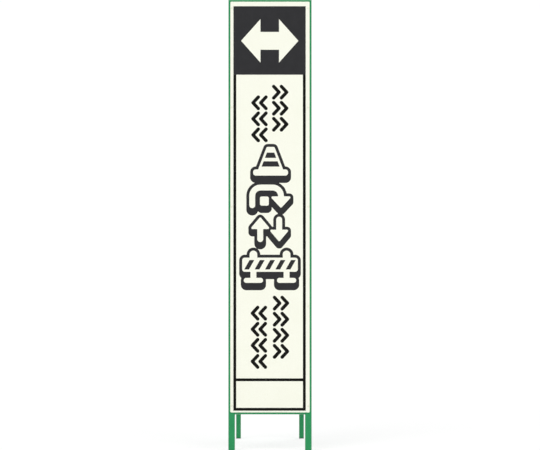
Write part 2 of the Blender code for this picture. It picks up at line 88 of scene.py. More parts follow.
MM = 0.001
PICTURE_WIDTH_PX = 540
PICTURE_HEIGHT_PX = 450
SENSOR_WIDTH_MM = 36.0
WAVE_BANDS = 20.0  # radians of Blender's wave texture over one unit of its scale
SIDES = ("left", "right")


def linear(hex_colour: str) -> tuple[float, float, float, float]:
    """Turns an sRGB hex colour into the linear values that Blender's shaders take.

    Args:
        hex_colour: six hexadecimal digits, red first.

    Returns:
        Linear red, green and blue with an alpha of 1.
    """
    channels = [int(hex_colour[i : i + 2], 16) / 255 for i in (0, 2, 4)]
    red, green, blue = (c / 12.92 if c <= 0.04045 else ((c + 0.055) / 1.055) ** 2.4 for c in channels)
    return red, green, blue, 1.0


def add(tree: Tree, kind: str, inputs: dict[str | int, object] | None = None, **settings: object) -> Node:
    """Adds a shader node with its settings and its links.

    Args:
        tree: the node tree that gets the node.
        kind: the node's type, without the prefix ShaderNode.
        inputs: for each named or numbered input, a value, an output, or a node for its first output.
        settings: the node's own properties.

    Returns:
        The new node.
    """
    made = tree.nodes.new("ShaderNode" + kind)
    for name, value in settings.items():
        setattr(made, name, value)
    for key, value in (inputs or {}).items():
        if isinstance(value, Node):
            value = next(output for output in value.outputs if output.enabled)
        if isinstance(value, Socket):
            tree.links.new(value, made.inputs[key])
        else:
            made.inputs[key].default_value = value
    return made


def mottled(
    tree: Tree,
    place: Socket,
    size_mm: float,
    detail: float,
    share: tuple[float, float],
    colours: tuple[str, str],
    **noise: float,
) -> Node:
    """Drifts from one colour to another in soft patches.

    Args:
        tree: the material's node tree.
        place: the object's own coordinates.
        size_mm: the patches' real size.
        detail: how many finer patches lie on them.
        share: the noise at which the second colour starts, and at which it is full.
        colours: the two colours in sRGB hex.
        noise: the noise's other inputs.

    Returns:
        The node that mixes the colours.
    """
    patches = add(tree, "TexNoise", {"Vector": place, "Scale": 1 / (size_mm * MM), "Detail": detail, **noise})
    factor = add(tree, "MapRange", {"Value": patches, "From Min": share[0], "From Max": share[1]})
    mix = {"Factor": factor, "A": linear(colours[0]), "B": linear(colours[1])}
    return add(tree, "Mix", mix, data_type="RGBA")


def grained(
    tree: Tree, place: Socket, size_mm: float, detail: float, depth_mm: float, **bump: float | Node
) -> Node:
    """Raises a surface in a fine grain.

    Args:
        tree: the material's node tree.
        place: the object's own coordinates.
        size_mm: the grain's real size.
        detail: how much finer grain lies on it.
        depth_mm: the grain's real depth.
        bump: the relief's other inputs.

    Returns:
        The node that gives the normal.
    """
    grain = add(tree, "TexNoise", {"Vector": place, "Scale": 1 / (size_mm * MM), "Detail": detail})
    return add(tree, "Bump", {"Height": grain, "Distance": depth_mm * MM, **bump})


@dataclass(frozen=True)
class Finish:
    """A surface finish. Its material is built the first time that a piece asks for it."""

    name: str

    def material(self) -> bpy.types.Material:
        """Finds the finish's material, or builds it.

        Returns:
            The material.
        """
        made = bpy.data.materials.get(self.name)
        if made is None:
            made = bpy.data.materials.new(self.name)
            made.use_nodes = True
            made.node_tree.nodes.clear()
            add(made.node_tree, "OutputMaterial", {"Surface": self.surface(made.node_tree)})
        return made

    def surface(self, tree: Tree) -> Node:
        """Builds the shader.

        Args:
            tree: the material's node tree.

        Returns:
            The shader's last node.
        """
        raise NotImplementedError


@dataclass(frozen=True)
class BakedEnamel(Finish):
    """Alkyd enamel sprayed on steel tube and baked: an even, semi-gloss film that flows round the edges.

    It shows the ripples of the spray, hides small edges, and is chipped down to its grey primer where the
    sign is knocked: in a few places along the tubes' corners, and round the feet.
    """

    colour: str = "238e55"
    thin_colour: str = "2c945b"
    primer_colour: str = "8d9389"
    dust_colour: str = "8fa488"
    roughness: float = 0.33
    chip_roughness: float = 0.75
    gloss: float = 0.26  # the white tent would wash a full gloss out
    film_mm: float = 60.0
    film_round_mm: float = 0.9
    peel_mm: float = 3.0
    peel_depth_mm: float = 0.12
    chip_mm: float = 2.2
    chip_depth_mm: float = 0.08
    cluster_mm: float = 70.0  # between the places where chips come together
    scuffed_up_to_mm: float = 45.0
    dust_mm: float = 12.0

    def surface(self, tree: Tree) -> Node:
        """Mixes the film with its dust and chips, ripples it as spraying does and sinks the chips.

        Args:
            tree: the material's node tree.

        Returns:
            The shader.
        """
        place = add(tree, "TexCoord").outputs["Object"]
        edge = add(tree, "Bevel", {"Radius": self.film_round_mm * MM}, samples=4)
        film = mottled(tree, place, self.film_mm, 3.0, (0.35, 0.65), (self.colour, self.thin_colour))
        dust = {"Factor": self.dust(tree, place), "A": film, "B": linear(self.dust_colour)}
        dusty = add(tree, "Mix", dust, data_type="RGBA")
        chips = self.chips(tree, place, edge)
        primer = {"Factor": chips, "A": dusty, "B": linear(self.primer_colour)}
        dull = {"Value": chips, "To Min": self.roughness, "To Max": self.chip_roughness}
        peel = grained(tree, place, self.peel_mm, 1.0, self.peel_depth_mm, Strength=0.8, Normal=edge)
        sunk = {"Height": chips, "Distance": self.chip_depth_mm * MM, "Strength": 0.6, "Normal": peel}
        looks = {
            "Base Color": add(tree, "Mix", primer, data_type="RGBA"),
            "Roughness": add(tree, "MapRange", dull),
            "IOR": 1.5,
            "Specular IOR Level": self.gloss,
            "Normal": add(tree, "Bump", sunk, invert=True),
        }
        return add(tree, "BsdfPrincipled", looks)

    def chips(self, tree: Tree, place: Socket, edge: Node) -> Node:
        """Finds where the film is chipped.

        Args:
            tree: the material's node tree.
            place: the object's own coordinates.
            edge: the normal as the film rounds it.

        Returns:
            A node that gives 1 in a chip and 0 elsewhere.
        """
        flat = add(tree, "NewGeometry").outputs["True Normal"]
        bend = add(tree, "VectorMath", {0: edge, 1: flat}, operation="DOT_PRODUCT")
        corner = add(tree, "MapRange", {"Value": bend, "From Min": 0.995, "From Max": 0.95, "To Max": 0.16})
        cluster = add(tree, "TexNoise", {"Vector": place, "Scale": 1 / (self.cluster_mm * MM), "Detail": 1.0})
        knocked = add(tree, "MapRange", {"Value": cluster, "From Min": 0.5, "From Max": 0.7, "To Min": -0.1})
        on_corner = add(tree, "Math", {0: corner, 1: knocked}, operation="MULTIPLY")
        height = add(tree, "SeparateXYZ", {"Vector": place}).outputs["Z"]
        scuffs = {"From Max": self.scuffed_up_to_mm * MM, "To Min": 0.1, "To Max": 0.0}
        near_ground = add(tree, "MapRange", {"Value": height, **scuffs})
        likely = add(tree, "Math", {0: on_corner, 1: near_ground}, operation="ADD")
        size = {"Scale": 1 / (self.chip_mm * MM), "Detail": 4.0, "Roughness": 0.6}
        grit = add(tree, "TexNoise", {"Vector": place, **size})
        reach = add(tree, "Math", {0: grit, 1: likely}, operation="ADD")
        return add(tree, "MapRange", {"Value": reach, "From Min": 0.72, "From Max": 0.745})

    def dust(self, tree: Tree, place: Socket) -> Node:
        """Settles a little road dust on what faces up.

        Args:
            tree: the material's node tree.
            place: the object's own coordinates.

        Returns:
            A node that gives the dust's share of the colour.
        """
        normal = add(tree, "NewGeometry").outputs["Normal"]
        upward = add(tree, "SeparateXYZ", {"Vector": normal}).outputs["Z"]
        settled = add(tree, "MapRange", {"Value": upward, "From Min": 0.3, "To Max": 0.12})
        patches = add(tree, "TexNoise", {"Vector": place, "Scale": 1 / (self.dust_mm * MM), "Detail": 5.0})
        return add(tree, "Math", {0: settled, 1: patches}, operation="MULTIPLY")


@dataclass(frozen=True)
class GlassBeadSheeting(Finish):
    """Engineer-grade reflective sheeting: glass beads under a clear acrylic film, which look cream by day."""

    colour: str = "fefff2"
    mottle_colour: str = "fafbec"
    binder_colour: str = "f6f7e6"
    roughness: float = 0.42
    mottle_mm: float = 90.0
    bead_mm: float = 0.9  # real beads are a tenth of this; drawn as coarse as they need to show
    bead_depth_mm: float = 0.04

    def surface(self, tree: Tree) -> Node:
        """Gives the film a fine pebble from the beads and a faint mottle from the adhesive.

        Args:
            tree: the material's node tree.

        Returns:
            The shader.
        """
        place = add(tree, "TexCoord").outputs["Object"]
        film = mottled(tree, place, self.mottle_mm, 2.0, (0.45, 0.8), (self.colour, self.mottle_colour))
        beads = add(tree, "TexVoronoi", {"Vector": place, "Scale": 1 / (self.bead_mm * MM)})
        between = add(tree, "MapRange", {"Value": beads, "From Min": 0.3, "From Max": 0.8})
        binder = {"Factor": between, "A": film, "B": linear(self.binder_colour)}
        pebble = {"Height": beads, "Distance": self.bead_depth_mm * MM, "Strength": 0.5}
        looks = {
            "Base Color": add(tree, "Mix", binder, data_type="RGBA"),
            "Roughness": self.roughness,
            "IOR": 1.49,
            "Normal": add(tree, "Bump", pebble, invert=True),
        }
        return add(tree, "BsdfPrincipled", looks)


@dataclass(frozen=True)
class ScreenInk(Finish):
    """Solvent ink pressed through a screen: an even, satin black that keeps a trace of the mesh."""

    colour: str = "2e2e30"
    roughness: float = 0.6
    uneven: float = 0.12  # of the roughness, either way
    gloss: float = 0.12
    mesh_mm: float = 1.2  # real screens are eight times finer; drawn as coarse as they need to show
    mesh_depth_mm: float = 0.05
    mesh_share: float = 0.22  # how much darker the ink is between the mesh's threads than under them
    cloud_mm: float = 25.0

    def surface(self, tree: Tree) -> Node:
        """Prints the screen's weave as a faint shade and relief, and thins the ink a little in places.

        Args:
            tree: the material's node tree.

        Returns:
            The shader.
        """
        place = add(tree, "TexCoord").outputs["Object"]
        threads = {"Vector": place, "Scale": 2 * math.pi / WAVE_BANDS / (self.mesh_mm * MM)}
        warp, weft = (add(tree, "TexWave", threads, bands_direction=axis).outputs["Fac"] for axis in "XZ")
        weave = add(tree, "Math", {0: warp, 1: weft}, operation="MAXIMUM")
        cloud = add(tree, "TexNoise", {"Vector": place, "Scale": 1 / (self.cloud_mm * MM), "Detail": 4.0})
        spread = {"From Min": 0.3, "From Max": 0.7, "To Min": 0.76, "To Max": 0.93}
        thin = add(tree, "MapRange", {"Value": cloud, **spread})
        shade = add(tree, "Math", {0: weave, 1: self.mesh_share, 2: thin}, operation="MULTIPLY_ADD")
        satin = {"To Min": self.roughness - self.uneven, "To Max": self.roughness + self.uneven}
        pressed = {"Height": weave, "Distance": self.mesh_depth_mm * MM, "Strength": 0.5}
        looks = {
            "Base Color": add(tree, "HueSaturation", {"Value": shade, "Color": linear(self.colour)}),
            "Roughness": add(tree, "MapRange", {"Value": cloud, **satin}),
            "IOR": 1.5,
            "Specular IOR Level": self.gloss,
            "Normal": add(tree, "Bump", pressed),
        }
        return add(tree, "BsdfPrincipled", looks)


@dataclass(frozen=True)
class PaintedAluminium(Finish):
    """Aluminium blind rivet with a stove-painted head: cream paint with tiny nicks down to the bare metal."""

    colour: str = "f4f4e2"
    metal_colour: str = "c9cacb"
    roughness: float = 0.4
    nick_mm: float = 0.8
    nick_depth_mm: float = 0.05

    def surface(self, tree: Tree) -> Node:
        """Paints the metal, with the nicks of the setting tool.

        Args:
            tree: the material's node tree.

        Returns:
            The shader.
        """
        place = add(tree, "TexCoord").outputs["Object"]
        nicks = add(tree, "TexNoise", {"Vector": place, "Scale": 1 / (self.nick_mm * MM), "Detail": 5.0})
        bare = add(tree, "MapRange", {"Value": nicks, "From Min": 0.68, "From Max": 0.72})
        paint = {"Factor": bare, "A": linear(self.colour), "B": linear(self.metal_colour)}
        nicked = {"Height": nicks, "Distance": self.nick_depth_mm * MM, "Strength": 0.3}
        looks = {
            "Base Color": add(tree, "Mix", paint, data_type="RGBA"),
            "Metallic": bare,
            "Roughness": self.roughness,
            "Normal": add(tree, "Bump", nicked),
        }
        return add(tree, "BsdfPrincipled", looks)


@dataclass(frozen=True)
class ZincPlate(Finish):
    """Electroplated zinc with a clear chromate: a bright grey metal with a cool, slightly cloudy sheen."""

    colour: str = "c4c8cc"
    cloud_colour: str = "aeb3b6"
    roughness: float = 0.32
    crystal_mm: float = 4.0
    drawn_mm: float = 0.6
    drawn_depth_mm: float = 0.02

    def surface(self, tree: Tree) -> Node:
        """Clouds the plate's colour and gloss, and roughens it as the drawn steel under it is.

        Args:
            tree: the material's node tree.

        Returns:
            The shader.
        """
        place = add(tree, "TexCoord").outputs["Object"]
        cloud = add(tree, "TexNoise", {"Vector": place, "Scale": 1 / (self.crystal_mm * MM), "Detail": 5.0})
        clouded = {"Factor": cloud, "A": linear(self.colour), "B": linear(self.cloud_colour)}
        gloss = {"To Min": self.roughness - 0.08, "To Max": self.roughness + 0.12}
        looks = {
            "Base Color": add(tree, "Mix", clouded, data_type="RGBA"),
            "Metallic": 1.0,
            "Roughness": add(tree, "MapRange", {"Value": cloud, **gloss}),
            "Normal": grained(tree, place, self.drawn_mm, 2.0, self.drawn_depth_mm, Strength=0.4),
        }
        return add(tree, "BsdfPrincipled", looks)


@dataclass(frozen=True)
class MouldedPlastic(Finish):
    """Injection-moulded plastic: a soft satin skin with the fine spark-eroded grain of the mould."""

    colour: str = "232524"
    worn_colour: str = "4a4c4a"
    roughness: float = 0.5
    rub_mm: float = 6.0
    grain_mm: float = 0.7
    grain_depth_mm: float = 0.03
    edge_mm: float = 0.5

    def surface(self, tree: Tree) -> Node:
        """Rounds the moulding's edges, grains its skin and greys it a little where it rubs.

        Args:
            tree: the material's node tree.

        Returns:
            The shader.
        """
        place = add(tree, "TexCoord").outputs["Object"]
        colours = (self.colour, self.worn_colour)
        colour = mottled(tree, place, self.rub_mm, 5.0, (0.5, 0.8), colours, Roughness=0.65)
        edge = add(tree, "Bevel", {"Radius": self.edge_mm * MM}, samples=4)
        skin = grained(tree, place, self.grain_mm, 2.0, self.grain_depth_mm, Strength=0.6, Normal=edge)
        looks = {"Base Color": colour, "Roughness": self.roughness, "IOR": 1.51, "Normal": skin}
        return add(tree, "BsdfPrincipled", looks)


@dataclass(frozen=True)
class StudioFloor(Finish):
    """Seamless white paper, which the camera sees as white with only a faint shadow."""

    albedo: float = 0.85
    seen_albedo: float = 0.35
    seen_glow: float = 0.68

    def surface(self, tree: Tree) -> Node:
        """Bounces light as paper does, and shows the camera and reflections a brighter paper.

        Args:
            tree: the material's node tree.

        Returns:
            The shader.
        """
        rays = add(tree, "LightPath").outputs
        bounce, paper = (
            add(tree, "BsdfDiffuse", {"Color": (grey, grey, grey, 1.0)})
            for grey in (self.albedo, self.seen_albedo)
        )
        seen = add(tree, "AddShader", {0: paper, 1: add(tree, "Emission", {"Strength": self.seen_glow})})
        return add(tree, "MixShader", {0: seen_directly(tree, rays), 1: bounce, 2: seen})


def seen_directly(tree: Tree, rays: bpy.types.bpy_prop_collection) -> Node:
    """Tells rays from the camera, from reflections and through glass from the rays that light the object.

    Args:
        tree: the node tree.
        rays: the outputs of a Light Path node.

    Returns:
        A node that gives 1 for those rays and 0 for the rest.
    """
    glossy = add(tree, "Math", {0: rays["Is Camera Ray"], 1: rays["Is Glossy Ray"]}, operation="MAXIMUM")
    return add(tree, "Math", {0: glossy, 1: rays["Is Transmission Ray"]}, operation="MAXIMUM")


PANEL_INK = ScreenInk("panel_screen_ink")
LINE_INK = ScreenInk("line_screen_ink", colour="10100d", gloss=0.08)
NATURAL_NYLON = MouldedPlastic("moulded_natural_nylon", colour="e2dfd4", worn_colour="d2cfc2", roughness=0.45)
PAPER = StudioFloor("seamless_white_paper")


class Slot(Enum):
    """The record's material slots, with the finish that each one's nodes and pieces get."""

    GREEN = ("green_enamel", BakedEnamel("baked_green_enamel"))
    CREAM = ("cream_sheeting", GlassBeadSheeting("cream_glass_bead_sheeting"))
    RIVET = ("cream_aluminium", PaintedAluminium("painted_aluminium_rivet"))
    ZINC = ("zinc_plate", ZincPlate("bright_zinc_plate"))
    NYLON = ("white_nylon", NATURAL_NYLON)
    BLACK = ("black_polyethylene", MouldedPlastic("moulded_black_polyethylene"))

    def __init__(self, slot: str, finish: Finish) -> None:
        """Takes the slot's name in the record, and its finish."""
        self.slot = slot
        self.finish = finish


class Body(Enum):
    """The CAD model's rigid bodies."""

    FRAME = "front_frame"
    STAND = "rear_stand"
    STAY = "stay"


@dataclass(frozen=True)
class Directions:
    """A body's own origin and directions at rest, in which its tubes run along the axes."""

    body: Body
    matrix: Matrix
    nodes: dict[str, Piece]

    def place(self, x: float, v: float, u: float) -> Vector:
        """Returns a place in world coordinates."""
        return self.matrix @ Vector((x, v, u))

    def box(self, node: str) -> tuple[Vector, Vector]:
        """Measures a CAD node along the body's own directions.

        Args:
            node: the node's name.

        Returns:
            Its lowest and highest corners.
        """
        inverse = self.matrix.inverted()
        corners = np.array([inverse @ vertex.co for vertex in self.nodes[node].data.vertices])
        return Vector(corners.min(axis=0)), Vector(corners.max(axis=0))


@dataclass
class PackedSign:
    """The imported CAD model, with the directions of its three bodies worked out from its record."""

    frame: dict
    leaning: Directions = field(init=False)
    standing: Directions = field(init=False)
    staying: Directions = field(init=False)

    def __post_init__(self) -> None:
        """Reads the lean from the top rail's face, and the spread from the hinge and a rear foot."""
        mounts = {mount["name"]: mount for mount in self.frame["record"]["mounts"]}
        joints = {joint["name"]: joint for joint in self.frame["joints"]}
        _, out, up = mounts["top_face"]["axis"]
        foot_cap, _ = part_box("front_foot_cap_left")
        self.leaning = self.carried(Body.FRAME, Vector((0, foot_cap.y, 0)), -math.atan2(out, up))
        hinge = Vector(joints["stand_fold"]["pos_m"])
        foot = mounts["rear_foot_left_sole"]["pos_m"]
        self.standing = self.carried(Body.STAND, hinge, math.atan2(foot[1] - hinge.y, hinge.z))
        self.staying = self.carried(Body.STAY, Vector(joints["stay_fold"]["pos_m"]), 0.0)

    def carried(self, body: Body, origin: Vector, tilt: float) -> Directions:
        """Returns a body's directions from its origin and its tilt about X."""
        matrix = Matrix.Translation(origin) @ Matrix.Rotation(tilt, 4, "X")
        return Directions(body, matrix, self.frame["nodes"])

    def dress_nodes(self) -> None:
        """Gives every CAD node the finish of its material slot."""
        finishes = {slot.slot: slot.finish for slot in Slot}
        for part in self.frame["record"]["subparts"]:
            mesh = self.frame["nodes"][part["node"]].data
            mesh.materials.clear()
            mesh.materials.append(finishes[part["material_slot"]].material())


def linked(name: str, data: bpy.types.ID) -> Piece:
    """Makes an object in the scene.

    Args:
        name: its name.
        data: its mesh, curve, lamp or camera.

    Returns:
        The object.
    """
    made = bpy.data.objects.new(name, data)
    bpy.context.scene.collection.objects.link(made)
    return made


def keep(name: str, shape: bpy.types.ID, slot: Slot, body: Body, finish: Finish | None = None) -> Piece:
    """Makes a piece of its shape, finishes it and has it ride with its body.

    Args:
        name: the piece's name.
        shape: its mesh or curve, in place.
        slot: the record's slot that its finish belongs to.
        body: the body that carries it.
        finish: its finish, where that isn't the slot's own.

    Returns:
        The piece.
    """
    finish = finish or slot.finish
    piece = linked(name, shape)
    shape.materials.append(finish.material())
    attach(piece, body.value)
    log.info("%s rides with %s in %s", name, body.value, finish.name)
    return piece


def path_distance(path: Sequence[Point], x: Grid, y: Grid) -> Grid:
    """Measures how far places are from a path.

    Args:
        path: the corners of its straight runs.
        x: the places across.
        y: the places up.

    Returns:
        Each place's distance from the nearest run.
    """
    nearest = np.full(x.shape, np.inf)
    for (ax, ay), (bx, by) in zip(path, path[1:]):
        run_x, run_y = bx - ax, by - ay
        along = np.clip(((x - ax) * run_x + (y - ay) * run_y) / (run_x**2 + run_y**2), 0, 1)
        nearest = np.minimum(nearest, np.hypot(x - ax - along * run_x, y - ay - along * run_y))
    return nearest


@dataclass(frozen=True)
class Stroke:
    """A line of even width with round ends, in millimetres."""

    points: tuple[Point, ...]
    width: float

    def distance(self, x: Grid, y: Grid) -> Grid:
        """Returns the distance of each place from the stroke's edge, negative inside it."""
        return path_distance(self.points, x, y) - self.width / 2


@dataclass(frozen=True)
class Plate:
    """A polygon whose corners are rounded outwards, in millimetres."""

    corners: tuple[Point, ...]
    rounding: float = 0.0

    def distance(self, x: Grid, y: Grid) -> Grid:
        """Measures how far places are from the plate's edge.

        Args:
            x: the places across.
            y: the places up.

        Returns:
            Each place's distance, negative inside the plate.
        """
        closed = (*self.corners, self.corners[0])
        inside = np.zeros(x.shape, bool)
        for (ax, ay), (bx, by) in zip(closed, closed[1:]):
            if ay != by:
                inside ^= ((ay > y) != (by > y)) & (x < ax + (y - ay) * (bx - ax) / (by - ay))
        nearest = path_distance(closed, x, y)
        return np.where(inside, -nearest, nearest) - self.rounding


Shape = Stroke | Plate


def union(shapes: Iterable[Shape], x: Grid, y: Grid) -> Grid:
    """Returns the distance of each place from the nearest of several shapes."""
    return np.minimum.reduce([np.full(x.shape, np.inf), *(shape.distance(x, y) for shape in shapes)])


def rectangle(left: float, low: float, right: float, high: float) -> tuple[Point, ...]:
    """Returns a rectangle's corners, from its lower left one and to the right."""
    return (left, low), (right, low), (right, high), (left, high)


def slab(centre: Point, width: float, height: float, rounding: float) -> Plate:
    """Makes a rectangle with round corners, given its full width and height."""
    (x, y), half_x, half_y = centre, width / 2 - rounding, height / 2 - rounding
    return Plate(rectangle(x - half_x, y - half_y, x + half_x, y + half_y), rounding)


def arc(centre: Point, radius: float, start: float, end: float, steps: int = 8) -> tuple[Point, ...]:
    """Returns points along an arc, from a start to an end angle in degrees."""
    angles = [math.radians(start + (end - start) * i / steps) for i in range(steps + 1)]
    return tuple((centre[0] + radius * math.cos(a), centre[1] + radius * math.sin(a)) for a in angles)


@dataclass(frozen=True)
class Pictogram:
    """A symbol of shapes left bare, with shapes inked across it, drawn about its own centre."""

    centre: Point
    bare: tuple[Shape, ...]
    inked: tuple[Shape, ...] = ()

    def bare_distance(self, x: Grid, y: Grid) -> Grid:
        """Returns the distance of each place from what is left bare."""
        return union(self.bare, x - self.centre[0], y - self.centre[1])

    def inked_distance(self, x: Grid, y: Grid) -> Grid:
        """Returns the distance of each place from what is inked across it."""
        return union(self.inked, x - self.centre[0], y - self.centre[1])


TRAFFIC_CONE = Pictogram(
    (2, 854),
    (Plate(((-36, -28), (36, -28), (9, 43), (-9, 43)), 6), slab((0, -38), 118, 21, 9)),
    tuple(
        Plate(((-wide, low), (wide, low), (narrow, low + 18), (-narrow, low + 18)))
        for wide, narrow, low in ((30.5, 23.7, -18), (19.3, 12.5, 11.5))
    ),
)
DETOUR_ARROW = Pictogram(
    (0, 736),
    (
        Stroke(((-60, -31), *arc((-32, 1), 28, 180, 90), *arc((9, 1), 28, 90, 0), (37, -4)), 20),
        Plate(((9, -5), (65, -5), (37, -35)), 4),
        slab((-19, -17), 30, 31, 6),
    ),
)
TWO_WAY_ARROWS = Pictogram(
    (-1, 623),
    tuple(
        shape
        for x, way in ((-32, 1), (32, -1))
        for shape in (
            Stroke(((x, -33 * way), (x, 10 * way)), 20),
            Plate(((x - 26, 5 * way), (x + 26, 5 * way), (x, 36 * way)), 4),
        )
    ),
)
BARRIER = Pictogram(
    (0, 496),
    (
        slab((0, 7), 188, 48, 9),
        *(Stroke(((leg, -12), (leg, -44)), 20) for leg in (-56, 56)),
        *(Stroke(((foot - 24, -46), (foot + 24, -46)), 17) for foot in (-56, 56)),
        *(Stroke(((lamp, 34), (lamp, 42)), 26) for lamp in (-56, 56)),
    ),
    tuple(Plate(((x, -9), (x + 16, -9), (x + 34, 23), (x + 18, 23))) for x in (-87, -52, -17, 18, 53)),
)


@dataclass(frozen=True)
class Trace:
    """A grid that follows the edge of an inked shape, in millimetres."""

    low: Point
    high: Point
    step: float = 1.0
    tolerance: float = 0.06  # how far a traced outline may pass from the true edge

    def outlines(self, distance: Callable[[Grid, Grid], Grid]) -> list[list[Point]]:
        """Traces where a distance is zero.

        Args:
            distance: gives the signed distance of every place on the grid.

        Returns:
            The closed outlines, each without the points that its shape doesn't need.
        """
        xs, ys = (np.arange(low, high + self.step, self.step) for low, high in zip(self.low, self.high))
        values = distance(*np.meshgrid(xs, ys))
        values[values == 0] = 1e-9
        links = self.crossings(values, xs, ys)
        loops = []
        while links:
            key = next(iter(links))
            loop = []
            while key in links:
                place, key = links.pop(key)
                loop.append(place)
            loops.append(self.simplified(loop))
        return [loop for loop in loops if len(loop) > 2]

    @staticmethod
    def crossings(values: Grid, xs: Grid, ys: Grid) -> dict[tuple, tuple[Point, tuple]]:
        """Finds where the outline crosses each grid cell, keeping the inside on its left.

        Args:
            values: the distance at each grid point.
            xs: the grid's columns.
            ys: the grid's rows.

        Returns:
            For each crossed grid edge, where the outline crosses it and which edge it reaches next.
        """
        inside = values < 0
        mixed = inside[:-1, :-1].astype(int) + inside[:-1, 1:] + inside[1:, 1:] + inside[1:, :-1]
        links = {}
        for row, column in np.argwhere((mixed > 0) & (mixed < 4)).tolist():
            corners = [(row, column), (row, column + 1), (row + 1, column + 1), (row + 1, column)]
            sides = list(zip(corners, corners[1:] + corners[:1]))
            leaving = [side for side in sides if inside[side[0]] and not inside[side[1]]]
            entering = [side for side in sides if inside[side[1]] and not inside[side[0]]]
            middle = sum(values[corner] for corner in corners)
            if len(leaving) == 2 and (middle < 0) == inside[corners[0]]:
                leaving.reverse()
            for (first, second), reached in zip(leaving, entering):
                share = values[first] / (values[first] - values[second])
                x, x_end, y, y_end = xs[first[1]], xs[second[1]], ys[first[0]], ys[second[0]]
                place = (float(x + share * (x_end - x)), float(y + share * (y_end - y)))
                links[tuple(sorted((first, second)))] = (place, tuple(sorted(reached)))
        return links

    def simplified(self, loop: list[Point]) -> list[Point]:
        """Drops the points of a closed loop that lie on a straight run.

        Args:
            loop: its points.

        Returns:
            Those that its shape needs.
        """
        closed = np.array(loop + loop[:1])
        far = int(np.argmax(np.hypot(*(closed[:-1] - closed[0]).T)))
        needed = {0, far}
        spans = [(0, far), (far, len(loop))]
        while spans:
            first, last = spans.pop()
            if last - first < 2:
                continue
            run = closed[last] - closed[first]
            away = closed[first + 1 : last] - closed[first]
            off = np.abs(away[:, 0] * run[1] - away[:, 1] * run[0]) / max(float(np.hypot(*run)), 1e-9)
            if off.max() > self.tolerance:
                middle = first + 1 + int(np.argmax(off))
                needed.add(middle)
                spans += [(first, middle), (middle, last)]
        return [loop[i] for i in sorted(needed)]


